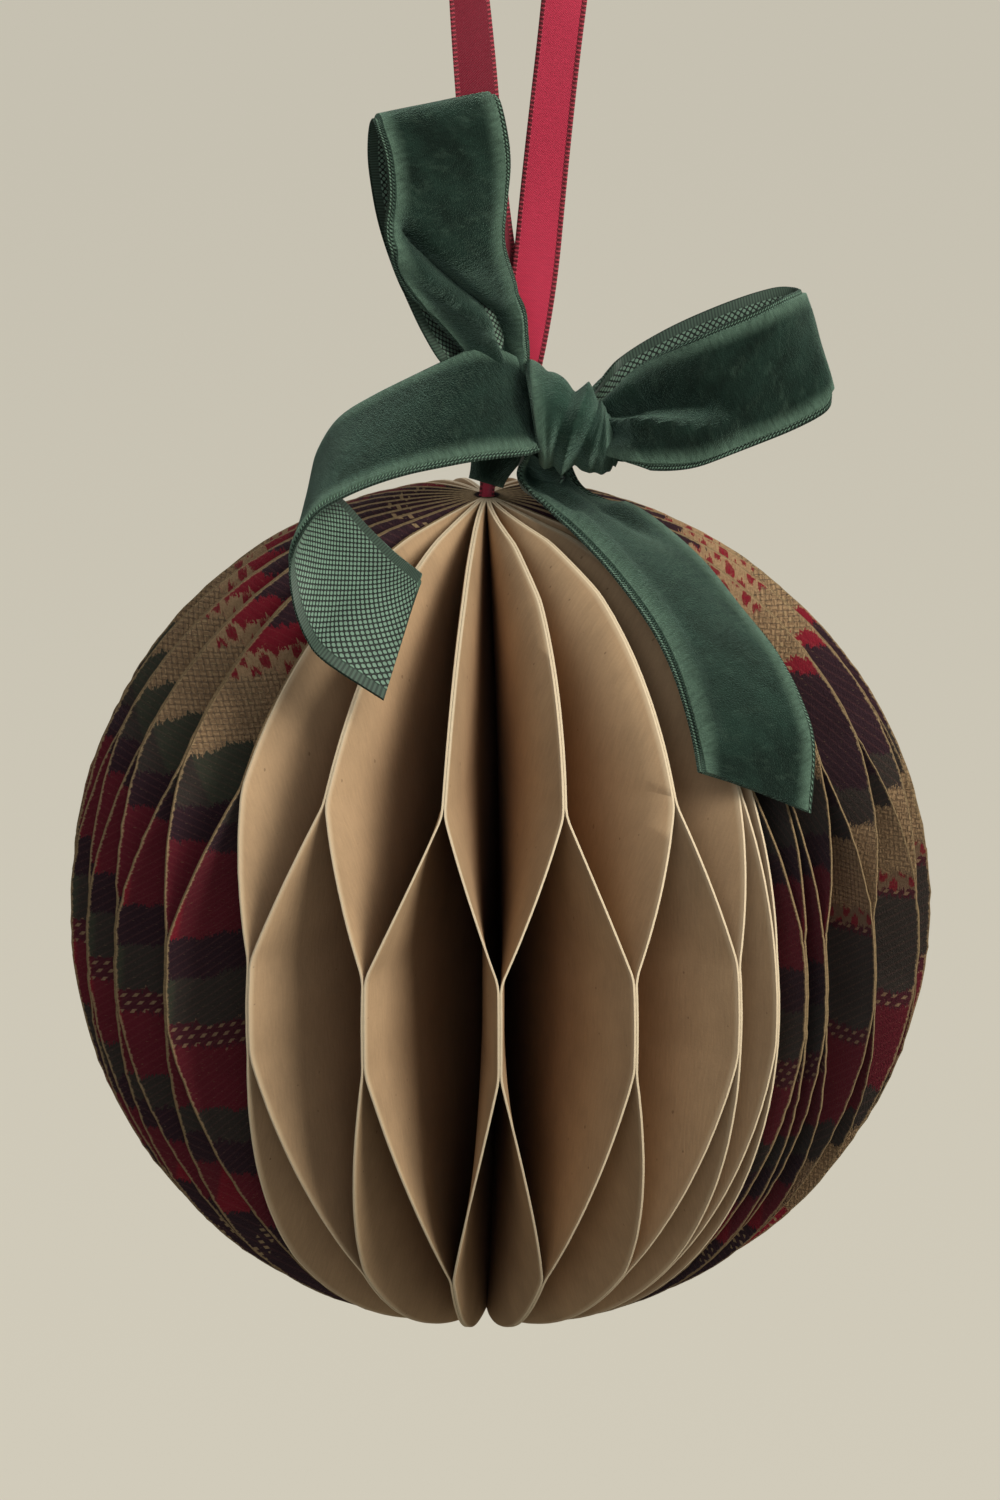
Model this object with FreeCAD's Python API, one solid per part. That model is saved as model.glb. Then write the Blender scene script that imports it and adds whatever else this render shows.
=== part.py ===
"""Hanging honeycomb paper ball: thirty folded card sheets round one core, hung on a satin
ribbon loop with a velvet ribbon bow tied round it.

Millimetres, +Z up. The viewer stands on the -Y side. The origin is the hanging point,
under the top of the ribbon loop."""

import FreeCAD, Part
import math
import os
from FreeCAD import Vector

# Ball
ball_radius = 60.0
ball_half_height = 59.2
core_radius = 3.3
core_lean = -1.8
sheet_count = 30
card_thickness = 0.3
glue_film = 0.05
bow_power = 2.2
bow_station = 0.6
pole_latitude = 86.0
core_turn = -2.0

# Rows at which neighbouring rims are glued, as latitudes in degrees
upper_seam_latitude = 29.5
fold_join_top = 7.5
fold_join_bottom = -5.5
lower_seam_latitude = -43.0
crown_latitude = 62.0
free_rows = (74.0, 51.0, 40.0, 18.5, -18.0, -30.5, -57.0, -71.0)

# Ribbons
velvet_width = 18.0
velvet_thickness = 1.0
satin_width = 6.0
satin_thickness = 0.35
strand_gap = 0.15
ribbon_clearance = 0.4
hanging_height = 98.4
hanging_offset = 2.4
loop_radius = 7.9

# The bow and the hanger are placed from the ball's top. The bow's outline is drawn in a plane
# that leans back by this tilt.
view_tilt = 17.5

# Rim longitudes of the hand-pulled sheets in front, in degrees, from sheet first_pulled on.
# Seams lie between two sheets, folds where the two leaves of one sheet meet.
first_pulled = -5
seam_crown = (-81.0, -69.5, -57.0, -41.5, -25.5, -7.0, 13.8, 31.5, 44.0, 52.0, 60.5, 70.0, 81.0, 93.0)
seam_upper = (-80.0, -68.5, -55.5, -41.5, -26.4, -7.9, 10.1, 27.4, 38.9, 41.2, 47.6, 57.5, 71.5, 87.0)
seam_lower = (-77.5, -65.0, -52.0, -38.5, -24.0, -7.5, 8.9, 24.4, 34.0, 39.0, 45.5, 55.0, 68.0, 83.0)
fold_join = (-71.8, -61.7, -49.5, -34.7, -17.9, 0.0, 17.8, 32.8, 38.9, 44.0, 47.9, 59.0, 74.8, 87.5)
back_wander = 0.9

# Which sheets are plain card; the others are printed
front_plain = range(-2, 4)
back_plain = range(13, 19)

# Hanger strands from the core upwards: across, height above the ball's top, turn of the face
left_strand = (
    (-1.1, -13.2, 0.0),
    (-1.45, -7.2, 0.0),
    (-2.15, 1.3, 0.0),
    (0.6, 9.8, 0.0),
    (2.2, 18.3, 0.0),
    (-1.5, 35.8, 20.0),
    (-4.2, 70.8, 25.0),
    (-5.3, 81.8, 65.0),
)
right_strand = (
    (-1.1, -13.2, 0.0),
    (-1.45, -7.2, 0.0),
    (-2.15, 1.3, 0.0),
    (0.6, 9.8, 0.0),
    (4.4, 26.8, 0.0),
    (6.3, 47.8, -15.0),
    (8.8, 70.8, -20.0),
    (10.1, 81.8, 25.0),
)
arch_steps = 6
hanger_steps = 2

# Velvet wrap round the strands
wrap_foot = (-1.95, 0.9)
wrap_lean = 0.25
wrap_height = 13.4

# The bow's stretches, as rungs across the ribbon: across, up and toward the viewer
bow_steps = 2
left_tail = (
    ((4.1, 17.3, 9.5), (5.6, 5.4, 16.5)),
    ((0.7, 19.3, 11.1), (3.3, 5.0, 18.9)),
    ((-3.0, 19.8, 13.4), (-1.5, 4.4, 21.6)),
    ((-6.8, 18.4, 14.1), (-6.5, 3.5, 24.3)),
    ((-11.6, 16.1, 14.7), (-11.9, 2.4, 26.3)),
    ((-16.9, 13.3, 15.4), (-17.3, 0.7, 28.2)),
    ((-21.4, 10.4, 16.1), (-21.6, -1.1, 29.9)),
    ((-24.0, 6.9, 16.1), (-24.8, -3.0, 31.1)),
    ((-25.1, 3.2, 16.7), (-27.1, -5.9, 32.1)),
    ((-23.8, 0.7, 18.4), (-28.3, -9.1, 32.8)),
    ((-21.2, -1.7, 21.3), (-28.4, -12.4, 33.9)),
    ((-18.6, -4.6, 24.5), (-27.7, -16.3, 34.7)),
    ((-15.4, -7.8, 28.4), (-26.0, -20.3, 35.8)),
    ((-12.8, -10.0, 31.4), (-23.4, -23.4, 37.2)),
    ((-10.5, -11.7, 33.7), (-15.6, -28.5, 37.5)),
)
right_tail = (
    ((3.7, 4.7, 10.0), (9.1, 5.7, 5.6)),
    ((2.7, 2.1, 7.6), (10.7, 1.8, 1.6)),
    ((6.3, -1.7, 11.4), (14.3, -0.3, 0.6)),
    ((10.9, -6.2, 16.6), (20.0, -2.6, 2.6)),
    ((16.0, -12.0, 22.0), (27.4, -8.7, 8.4)),
    ((20.3, -18.1, 26.3), (33.3, -15.9, 14.1)),
    ((23.1, -24.0, 29.5), (37.7, -21.7, 19.3)),
    ((25.1, -30.1, 32.4), (41.0, -28.5, 24.0)),
    ((26.4, -35.3, 34.3), (42.7, -34.6, 26.5)),
    ((26.9, -38.1, 35.2), (42.2, -43.8, 27.6)),
)
left_loop = (
    ((-1.1, 14.3, 10.7), (3.6, 15.1, 10.7)),
    ((-4.6, 19.5, 15.3), (2.9, 20.2, 9.5)),
    ((-8.3, 23.0, 19.2), (3.0, 24.6, 12.0)),
    ((-12.1, 26.3, 23.6), (2.3, 28.2, 14.8)),
    ((-14.8, 30.8, 26.6), (1.2, 31.6, 18.4)),
    ((-15.4, 34.8, 27.8), (0.7, 34.7, 19.8)),
    ((-14.9, 40.0, 29.2), (1.1, 39.5, 20.8)),
    ((-15.4, 44.9, 29.4), (1.4, 44.2, 22.8)),
    ((-16.5, 48.6, 29.0), (0.9, 48.8, 24.6)),
    ((-17.0, 50.1, 28.3), (-0.1, 53.1, 22.9)),
    ((-17.6, 49.9, 26.4), (-1.2, 53.8, 20.0)),
    ((-17.9, 47.4, 25.1), (-1.5, 49.7, 18.1)),
    ((-17.8, 43.5, 23.3), (-1.1, 44.1, 16.5)),
    ((-17.0, 38.1, 22.7), (-0.8, 38.0, 14.7)),
    ((-15.8, 33.6, 21.8), (0.0, 33.1, 13.2)),
    ((-13.6, 27.9, 18.0), (1.0, 27.7, 11.4)),
    ((-10.5, 21.7, 13.4), (1.9, 22.3, 9.6)),
    ((-6.8, 17.1, 9.8), (3.0, 17.4, 8.2)),
    ((-1.4, 13.4, 8.9), (4.8, 13.8, 8.9)),
)
right_loop = (
    ((12.1, 12.4, 10.1), (13.1, 5.1, 13.1)),
    ((14.5, 13.2, 11.4), (16.6, 4.0, 17.0)),
    ((19.2, 17.6, 14.6), (21.1, 2.7, 21.4)),
    ((27.5, 21.3, 20.9), (26.9, 3.2, 20.9)),
    ((34.2, 24.1, 21.4), (34.0, 5.9, 21.4)),
    ((38.5, 26.3, 19.2), (40.0, 8.4, 20.8)),
    ((40.7, 27.4, 14.6), (44.2, 10.8, 20.6)),
    ((41.2, 27.9, 10.2), (45.3, 12.9, 19.4)),
    ((40.5, 28.1, 7.3), (44.6, 13.3, 16.7)),
    ((37.4, 28.0, 5.9), (41.0, 12.0, 13.3)),
    ((31.0, 26.0, 5.6), (33.5, 8.8, 10.4)),
    ((23.0, 22.5, 4.5), (25.7, 5.6, 9.9)),
    ((16.1, 18.2, 3.9), (18.9, 4.2, 10.9)),
    ((12.1, 13.9, 7.5), (13.4, 5.2, 9.3)),
)
bow_runs = (left_tail, right_tail, left_loop, right_loop)

# Knot sections: across, up, half height, toward, half depth, and how far the top lies to the right
knot_corners = 8
knot_sections = (
    (4.6, 10.4, 6.8, 11.7, 7.9, -1.0),
    (5.3, 10.5, 7.5, 11.7, 8.1, -1.0),
    (7.2, 9.9, 7.1, 12.0, 7.8, -0.6),
    (9.6, 9.2, 6.4, 12.2, 7.6, -0.3),
    (12.2, 8.4, 5.9, 12.2, 7.4, -0.3),
    (14.3, 8.0, 5.6, 12.1, 6.6, -0.6),
    (15.2, 7.6, 4.9, 12.0, 5.2, -0.8),
)


def solid_skin(sections, flipped=()):
    """A closed solid of flat facets through closed sections with equal point counts."""
    faces = []
    count = len(sections[0])
    for lower, upper in zip(sections, sections[1:]):
        for here in range(count):
            after = (here + 1) % count
            a, b, c, d = lower[here], lower[after], upper[after], upper[here]
            halves = ((a, b, d), (b, c, d)) if here in flipped else ((a, b, c), (a, c, d))
            for half in halves:
                faces.append(Part.Face(Part.makePolygon([*half, half[0]])))
    for end in (sections[0], sections[-1]):
        faces.append(Part.Face(Part.makePolygon([*end, end[0]])))
    shell = Part.Shell(faces)
    shell.sewShape()
    solid = Part.Solid(shell)
    if solid.Volume < 0:
        solid.reverse()
    return solid


def blend(first, last, share):
    return first + (last - first) * share


def along(stops, place):
    """The value at a place between the stops, which run from high to low."""
    for (high, start), (low, end) in zip(stops, stops[1:]):
        if place >= low:
            return blend(start, end, (high - place) / (high - low))
    return stops[-1][1]


def core_angle(sheet):
    return 360.0 / sheet_count * sheet + core_turn


def pulled(values, sheet, half_turn):
    """A rim longitude: by hand in front, evenly spread with a slight wander round the back."""
    place = (sheet - first_pulled) % sheet_count
    turn = 360.0 * ((sheet - first_pulled) // sheet_count)
    last = len(values) - 1
    if place <= last:
        return values[place] + turn
    share = (place - last) / (sheet_count - last)
    wander = back_wander * math.sin(2.3 * place + half_turn) * math.sin(math.pi * share)
    return blend(values[last], values[0] + 360.0, share) + turn + wander


def seam_longitude(sheet, latitude):
    """Where the seam on a sheet's left side lies at a latitude."""
    pole = core_angle(sheet) - 180.0 / sheet_count
    crown = pulled(seam_crown, sheet, 0.0)
    stops = (
        (pole_latitude, pole),
        (74.0, blend(pole, crown, 0.85)),
        (crown_latitude, crown),
        (upper_seam_latitude, pulled(seam_upper, sheet, 0.0)),
        (lower_seam_latitude, pulled(seam_lower, sheet, 0.0)),
        (-71.0, blend(pulled(seam_lower, sheet, 0.0), pole, 0.25)),
        (-pole_latitude, pole),
    )
    return along(stops, latitude)


def rim_longitude(sheet, side, latitude):
    """The rim of one leaf: glued to the next sheet above and below, to its own twin between."""
    seam_sheet = sheet if side < 0 else sheet + 1
    join = pulled(fold_join, sheet, 1.0)
    if latitude > upper_seam_latitude or latitude < lower_seam_latitude:
        return seam_longitude(seam_sheet, latitude)
    stops = (
        (upper_seam_latitude, seam_longitude(seam_sheet, upper_seam_latitude)),
        (fold_join_top, join),
        (fold_join_bottom, join),
        (lower_seam_latitude, seam_longitude(seam_sheet, lower_seam_latitude)),
    )
    return along(stops, latitude)


def seam_share(latitude):
    """1 where leaves of neighbouring sheets are glued, -1 where a sheet's own leaves are."""
    stops = (
        (upper_seam_latitude, 1.0),
        (fold_join_top, -1.0),
        (fold_join_bottom, -1.0),
        (lower_seam_latitude, 1.0),
    )
    if latitude > upper_seam_latitude or latitude < lower_seam_latitude:
        return 1.0
    return along(stops, latitude)


def leaf_angle(sheet, side, latitude, share):
    """Middle of a leaf's card, in degrees, at a share of the way from fold to rim."""
    core = core_angle(sheet) + side * 90.0 / sheet_count
    rim_radius = ball_radius * math.cos(math.radians(latitude))
    half_pair = math.degrees((card_thickness + glue_film) / 2 / rim_radius)
    rim = rim_longitude(sheet, side, latitude) - side * half_pair * seam_share(latitude)
    return blend(core, rim, share**bow_power)


def ball_point(radius, angle, height):
    """A point at a radius and longitude. The core leans a little towards both poles."""
    lean = core_lean * (height / ball_half_height) ** 2
    turn = math.radians(angle)
    return Vector(lean + radius * math.sin(turn), -radius * math.cos(turn), height)


def sheet_section(sheet, latitude):
    """The closed outline of a folded sheet at one height, from fold to both rims."""
    height = ball_half_height * math.sin(math.radians(latitude))
    rim_radius = ball_radius * math.cos(math.radians(latitude))
    crease_radius = core_radius + card_thickness

    def face_point(side, outward, share):
        radius = blend(core_radius, rim_radius, share)
        half_card = math.degrees(card_thickness / 2 / radius)
        angle = leaf_angle(sheet, side, latitude, share) + outward * side * half_card
        return ball_point(radius, angle, height)

    stations = (0.0, bow_station, 1.0)
    left_out = [face_point(-1, 1, share) for share in stations]
    left_in = [face_point(-1, -1, share) for share in reversed(stations[1:])]
    crease = [ball_point(crease_radius, core_angle(sheet), height)]
    right_in = [face_point(1, -1, share) for share in stations[1:]]
    right_out = [face_point(1, 1, share) for share in reversed(stations)]
    return left_out + left_in + crease + right_in + right_out


def folded_sheet(sheet):
    glued = (upper_seam_latitude, fold_join_top, fold_join_bottom, lower_seam_latitude)
    rows = sorted({pole_latitude, -pole_latitude, crown_latitude, *glued, *free_rows}, reverse=True)
    sections = [sheet_section(sheet, latitude) for latitude in rows]
    towards_fold = {3, 4, 8, 9}
    return solid_skin(sections, flipped=towards_fold)


def seen(across, up, toward):
    """A point given across, up and toward the viewer, from the ball's top and tilted."""
    tilt = math.radians(view_tilt)
    return Vector(
        across,
        up * math.sin(tilt) - toward * math.cos(tilt),
        up * math.cos(tilt) + toward * math.sin(tilt) + ball_half_height,
    )


def curve_point(points, index, share):
    """A point on the curve through the points, between one of them and the next."""
    before = points[max(index - 1, 0)]
    here = points[index]
    after = points[index + 1]
    beyond = points[min(index + 2, len(points) - 1)]
    leave = (after - before) * 0.5
    arrive = (beyond - here) * 0.5
    square = share**2
    cube = share**3
    return (
        here * (2 * cube - 3 * square + 1)
        + leave * (cube - 2 * square + share)
        + after * (3 * square - 2 * cube)
        + arrive * (cube - square)
    )


def smooth_rungs(rungs, steps):
    """The same ribbon with more rungs. A rung is the two ends of the ribbon's width."""
    edges = ([rung[0] for rung in rungs], [rung[1] for rung in rungs])
    finer = []
    for index in range(len(rungs) - 1):
        for step in range(steps):
            finer.append([curve_point(edge, index, step / steps) for edge in edges])
    finer.append([edge[-1] for edge in edges])
    return finer


def ribbon(rungs, thickness):
    """A ribbon of one thickness through its rungs."""
    sections = []
    middles = [(first + second) * 0.5 for first, second in rungs]
    for index, (first, second) in enumerate(rungs):
        run = middles[min(index + 1, len(middles) - 1)] - middles[max(index - 1, 0)]
        normal = (second - first).cross(run).normalize() * (thickness / 2)
        sections.append([first + normal, second + normal, second - normal, first - normal])
    return solid_skin(sections)


def bow_run(rungs):
    """One stretch of the velvet ribbon, whose widest rung has the ribbon's full width."""
    edges = [[seen(*first), seen(*second)] for first, second in rungs]
    fullness = velvet_width / max((second - first).Length for first, second in edges)
    fitted = []
    for first, second in edges:
        middle = (first + second) * 0.5
        half = (second - first) * (0.5 * fullness)
        fitted.append([middle - half, middle + half])
    return ribbon(smooth_rungs(fitted, bow_steps), velvet_thickness)


def knot_lump():
    """The knot's outer form, from its left side to its right."""
    sections = []
    for across, up, half_height, toward, half_depth, lean in knot_sections:
        section = []
        for corner in range(knot_corners):
            turn = 2 * math.pi * (corner + 0.5) / knot_corners
            rise = half_height * math.sin(turn)
            reach = half_depth * math.cos(turn)
            section.append(seen(across + lean * math.sin(turn), up + rise, toward + reach))
        sections.append(section)
    return solid_skin(sections)


def wrap_prism(extra, low, high):
    """A slanted prism round both strands of the hanger, from one height to another."""
    half_width = satin_width / 2 + ribbon_clearance + extra
    half_depth = strand_gap / 2 + satin_thickness + ribbon_clearance + extra
    chamfer = half_depth * 0.6
    corners = (
        (half_width, half_depth - chamfer),
        (half_width - chamfer, half_depth),
        (chamfer - half_width, half_depth),
        (-half_width, half_depth - chamfer),
        (-half_width, chamfer - half_depth),
        (chamfer - half_width, -half_depth),
        (half_width - chamfer, -half_depth),
        (half_width, chamfer - half_depth),
    )
    sections = []
    for height in (low, high):
        middle = wrap_foot[0] + wrap_lean * (height - wrap_foot[1])
        sections.append([Vector(middle + x, y, ball_half_height + height) for x, y in corners])
    return solid_skin(sections)


def velvet_bow():
    """Knot, loops and tails, with the ribbon closing round the strands behind the knot."""
    foot = wrap_foot[1]
    bow = wrap_prism(velvet_thickness, foot, foot + wrap_height)
    for piece in (knot_lump(), *(bow_run(rungs) for rungs in bow_runs)):
        bow = bow.fuse(piece)
    return bow.cut(wrap_prism(0.0, foot - 1.0, foot + wrap_height + 2.5))


def spline_points(controls, steps):
    """Points on the smooth curve that the control points pull, ends included."""
    points = [controls[0]]
    last = len(controls) - 2
    for index in range(1, last + 1):
        start = controls[0] if index == 1 else (controls[index - 1] + controls[index]) * 0.5
        end = controls[-1] if index == last else (controls[index] + controls[index + 1]) * 0.5
        for step in range(1, steps + 1):
            share = step / steps
            points.append(
                start * (1 - share) ** 2
                + controls[index] * (2 * share * (1 - share))
                + end * share**2
            )
    return points


def hanger_controls():
    """Control points of the hanger and the turn of its face at each, core to core."""
    behind = (satin_thickness + strand_gap) / 2
    top = ball_half_height
    rise = [(Vector(x, behind, top + z), turn) for x, z, turn in left_strand]
    fall = [(Vector(x, -behind, top + z), turn) for x, z, turn in reversed(right_strand)]
    arch = []
    outer = loop_radius / math.cos(math.pi / arch_steps / 2)
    middle = top + hanging_height - loop_radius
    for step in range(arch_steps):
        turn = math.pi * (step + 0.5) / arch_steps
        x = hanging_offset - outer * math.cos(turn)
        arch.append((Vector(x, 0.0, middle + outer * math.sin(turn)), 90.0))
    return rise + arch + fall


def satin_hanger():
    controls = hanger_controls()
    middles = spline_points([point for point, turn in controls], hanger_steps)
    turns = spline_points([Vector(turn, 0, 0) for point, turn in controls], hanger_steps)
    length = sum((b - a).Length for a, b in zip(middles, middles[1:]))
    print("hanger length", round(length, 1))
    rungs = []
    for index, middle in enumerate(middles):
        run = middles[min(index + 1, len(middles) - 1)] - middles[max(index - 1, 0)]
        run.normalize()
        face_turn = math.radians(turns[index].x)
        across = Vector(math.cos(face_turn), math.sin(face_turn), 0)
        across = (across - run * across.dot(run)).normalize() * (satin_width / 2)
        rungs.append([middle - across, middle + across])
    return ribbon(rungs, satin_thickness)


def write(name, shape):
    """Moves a piece from the ball's own frame to the hanging point's, and writes it."""
    shape.translate(Vector(-hanging_offset, 0, -ball_half_height - hanging_height))
    solids = shape.Solids
    print(name, round(shape.Volume, 1), shape.isValid(), len(solids), len(shape.Faces))
    if len(solids) == 1:
        shape = solids[0]
    shape.exportStep(f"parts/{name}.step")


def main():
    os.makedirs("parts", exist_ok=True)
    for sheet in range(first_pulled, first_pulled + sheet_count):
        plain = sheet in front_plain or sheet in back_plain
        number = sheet - first_pulled + 1
        write(f"{'kraft' if plain else 'plaid'}_sheet_{number:02d}", folded_sheet(sheet))
    write("velvet_bow", velvet_bow())
    write("satin_hanger", satin_hanger())


main()
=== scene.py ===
"""Dresses the honeycomb paper ball: card sheets, satin hanger, velvet bow and the stage."""

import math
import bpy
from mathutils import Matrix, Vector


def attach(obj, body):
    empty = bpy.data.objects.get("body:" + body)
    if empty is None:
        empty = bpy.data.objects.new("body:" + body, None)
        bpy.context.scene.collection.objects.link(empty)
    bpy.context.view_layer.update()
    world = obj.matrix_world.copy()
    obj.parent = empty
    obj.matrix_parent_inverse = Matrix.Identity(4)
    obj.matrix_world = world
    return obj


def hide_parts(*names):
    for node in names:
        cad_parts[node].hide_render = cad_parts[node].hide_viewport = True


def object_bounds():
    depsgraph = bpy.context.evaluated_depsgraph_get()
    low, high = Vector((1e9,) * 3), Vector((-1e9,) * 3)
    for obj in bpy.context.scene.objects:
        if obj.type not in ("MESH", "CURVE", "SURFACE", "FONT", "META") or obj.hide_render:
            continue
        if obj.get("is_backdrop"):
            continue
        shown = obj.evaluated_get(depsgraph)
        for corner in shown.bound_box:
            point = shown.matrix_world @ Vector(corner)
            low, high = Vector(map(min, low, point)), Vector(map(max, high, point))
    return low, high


bl_info = {
    "name": "Honeycomb Paper Ball",
    "version": (1, 0, 0),
    "blender": (4, 5, 0),
    "location": "3D View > Sidebar > Paper Ball",
    "description": "A hanging ball of folded kraft and tartan card with a velvet bow on a satin ribbon",
    "category": "Add Mesh",
}

import bpy
from mathutils import Vector, noise

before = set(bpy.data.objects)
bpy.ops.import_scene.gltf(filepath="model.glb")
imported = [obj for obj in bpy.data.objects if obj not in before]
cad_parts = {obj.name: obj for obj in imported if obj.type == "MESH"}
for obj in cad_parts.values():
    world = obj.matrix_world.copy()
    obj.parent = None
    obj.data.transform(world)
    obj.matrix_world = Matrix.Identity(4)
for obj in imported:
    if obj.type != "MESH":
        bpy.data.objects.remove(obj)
cad_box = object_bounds()

# Lengths below are in millimetres, angles in degrees
millimetre = 0.001
body = "root"

# Where the ball hangs from the hanging point, which is the origin
hanging_height = 98.4
hanging_offset = 2.4
view_tilt = 17.5

# Ball
core_radius = 3.3
core_lean = -1.8
sheet_count = 30
glue_film = 0.05
bow_power = 2.2
pole_latitude = 86.0
core_turn = -2.0
upper_seam_latitude = 29.5
fold_join_top = 7.5
fold_join_bottom = -5.5
lower_seam_latitude = -43.0
crown_latitude = 62.0
corner_softness = 1.0
first_pulled = -5
seam_crown = (-81.0, -69.5, -57.0, -41.5, -25.5, -7.0, 13.8, 31.5, 44.0, 52.0, 60.5, 70.0, 81.0, 93.0)
seam_upper = (-80.0, -68.5, -55.5, -41.5, -26.4, -7.9, 10.1, 27.4, 38.9, 41.2, 47.6, 57.5, 71.5, 87.0)
seam_lower = (-77.5, -65.0, -52.0, -38.5, -24.0, -7.5, 8.9, 24.4, 34.0, 39.0, 45.5, 55.0, 68.0, 83.0)
fold_join = (-71.8, -61.7, -49.5, -34.7, -17.9, 0.0, 17.8, 32.8, 38.9, 44.0, 47.9, 59.0, 74.8, 87.5)
back_wander = 0.9
front_plain = range(-2, 4)
back_plain = range(13, 19)

# Latitudes past which the seams draw together at the poles
upper_gather = 74.0
lower_gather = -71.0

# How finely a sheet is meshed, how far its leaves sway, how round its rims are and how deep their nicks
latitude_step = 1.5
leaf_stations = 11
leaf_sway = 0.9
rim_bulge = 0.12
kraft_nick = 0.05
print_nick = 0.16

# Rows past the solids' last one, which close the sheets over the upper pole, where the core narrows
closing_rows = (1.1, 2.2)
core_pinch = 0.6

# How far up the print lies on a printed sheet: it rises from sheet to sheet, away from the front
left_print = range(-11, -2)
left_rise = 1.5
right_rise = 0.6
right_reference = 6
right_drop = 1.5

# Two sheets on the right of the plain ones carry the left print, lower down
beside_plain = {4: -4.0, 5: -4.0}

# Hanger strands: across, height above the ball's top, turn of the face
strand_foot = ((-1.1, -13.2, 0.0), (-1.45, -7.2, 0.0), (-2.15, 1.3, 0.0), (0.6, 9.8, 0.0))
left_strand = strand_foot + (
    (2.2, 18.3, 0.0),
    (-1.5, 35.8, 20.0),
    (-4.2, 70.8, 25.0),
    (-5.3, 81.8, 65.0),
)
right_strand = strand_foot + (
    (4.4, 26.8, 0.0),
    (6.3, 47.8, -15.0),
    (8.8, 70.8, -20.0),
    (10.1, 81.8, 25.0),
)
strand_gap = 0.15
satin_thickness = 0.35
loop_radius = 7.9
arch_steps = 6
satin_columns = 15
hanger_steps = 24

# Painted light and shade on the satin: its two sides are painted lighter and darker than its colour, so
# that one strand looks in the light and the other in shade
painted_lit_side = 1.7
painted_shaded_side = 0.48

# The ribbons are narrow and pleated where they pass the small hole at the pole, and spread above it
pinch_top = 1.0
pinch_length = 6.5
pinched_width = 0.3
pleat_depth = 0.22

# Velvet wrap round the strands
wrap_foot = (-1.95, 0.9)
wrap_lean = 0.25
wrap_height = 13.4
wrap_levels = 24
wrap_corners = 48
ribbon_clearance = 0.4


# Settings that a user would change


def length_property(name, description, default, least):
    description += ", in millimetres"
    return bpy.props.FloatProperty(name=name, description=description, default=default, min=least)


class BallSizes(bpy.types.PropertyGroup):
    radius: length_property("Radius", "Ball radius across the rims", 60.0, 10.0)
    half_height: length_property("Half height", "Ball middle to pole", 59.2, 10.0)
    card: length_property("Card", "Thickness of the card", 0.3, 0.05)


class RibbonSizes(bpy.types.PropertyGroup):
    velvet_width: length_property("Velvet width", "Width of the velvet ribbon", 18.0, 3.0)
    velvet_thickness: length_property("Velvet thickness", "Backing and pile", 0.95, 0.2)
    satin_width: length_property("Satin width", "Width of the satin ribbon", 6.0, 1.0)


def colour_property(name, description, default):
    return bpy.props.FloatVectorProperty(
        name=name, description=description, default=default, subtype="COLOR", size=3, min=0.0, max=1.0
    )


class Colours(bpy.types.PropertyGroup):
    kraft: colour_property("Kraft", "Face of the plain card", (0.43, 0.292, 0.168))
    cut_edge: colour_property("Cut edge", "Cut rim of the card", (0.80, 0.66, 0.45))
    print_tan: colour_property("Tan", "Bare ground of the print", (0.43, 0.285, 0.155))
    print_red: colour_property("Red", "Red bands of the print", (0.26, 0.016, 0.030))
    print_green: colour_property("Green", "Green bands of the print", (0.060, 0.064, 0.044))
    print_dark: colour_property("Dark", "Darkest bands of the print", (0.040, 0.019, 0.026))
    print_cream: colour_property("Cream", "Stitched lines of the print", (0.45, 0.32, 0.17))
    velvet: colour_property("Velvet", "Pile of the velvet", (0.014, 0.034, 0.024))
    velvet_back: colour_property("Velvet back", "Threads of the woven back", (0.17, 0.285, 0.205))
    satin: colour_property("Satin", "Satin ribbon", (0.50, 0.035, 0.075))
    ground: colour_property("Ground", "Floor", (0.60, 0.565, 0.47))


# Shader maths


class Wire:
    """A socket that takes part in arithmetic: each operation adds a Math node."""

    def __init__(self, finish, socket):
        self.finish = finish
        self.socket = socket

    def maths(self, operation, *values):
        sockets = dict(enumerate(values))
        return self.finish.node("ShaderNodeMath", {"operation": operation}, sockets)

    def __add__(self, other):
        return self.maths("ADD", self, other)

    __radd__ = __add__

    def __sub__(self, other):
        return self.maths("SUBTRACT", self, other)

    def __rsub__(self, other):
        return self.maths("SUBTRACT", other, self)

    def __mul__(self, other):
        return self.maths("MULTIPLY", self, other)

    def __truediv__(self, other):
        return self.maths("DIVIDE", self, other)

    def __abs__(self):
        return self.maths("ABSOLUTE", self)

    def clipped(self):
        return self.maths("MINIMUM", self.maths("MAXIMUM", self, 0.0), 1.0)

    def ramp(self, low, high):
        """0 below low, 1 above high, smooth between. With low above high it runs the other way."""
        sockets = {"Value": self, "From Min": low, "From Max": high}
        return self.finish.node("ShaderNodeMapRange", {"interpolation_type": "SMOOTHSTEP"}, sockets)

    def bounced(self, length):
        """Runs up to this length and back again."""
        return self.maths("PINGPONG", self, length)

    def part(self, index):
        """One of the three parts of a vector."""
        return self.finish.node("ShaderNodeSeparateXYZ", {}, {0: self}, out=index)

    def wave(self, length):
        """A sine from -1 to 1 with this wavelength."""
        return self.maths("SINE", self * (2 * math.pi / length))


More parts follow.
